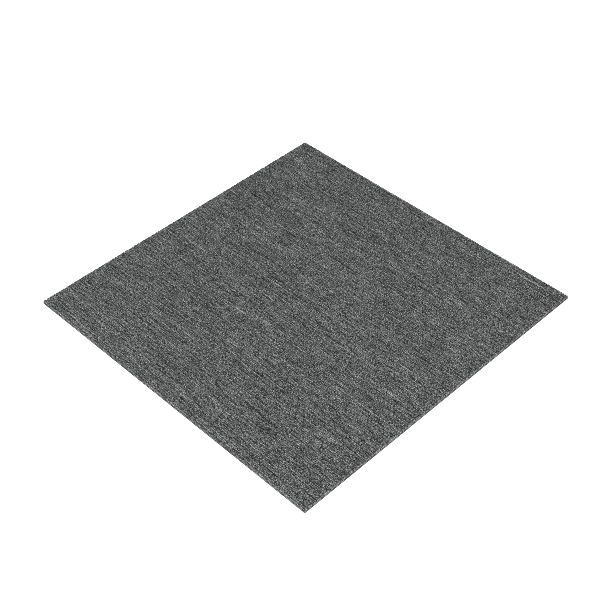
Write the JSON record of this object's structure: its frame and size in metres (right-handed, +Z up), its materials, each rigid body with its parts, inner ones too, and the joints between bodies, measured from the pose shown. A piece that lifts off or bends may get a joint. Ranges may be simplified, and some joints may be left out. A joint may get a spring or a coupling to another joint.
{
  "type": "carpet tile",
  "caption": "Square grey loop-pile carpet tile on a thin dark backing slab, lying flat with its pile up.",
  "frame": {"origin": "centre of the underside, on the floor", "axes": "+X along the tuft rows, +Y across them, +Z up out of the pile"},
  "size_m": [0.5, 0.5, 0.006],
  "materials": {
    "pile": "loop pile of heathered grey yarn, matt",
    "backing": "dense near-black backing compound, matt, die-cut edge"
  },
  "bodies": {
    "root": {"backing": "backing", "tufted_face": "pile"}
  },
  "joints": []
}
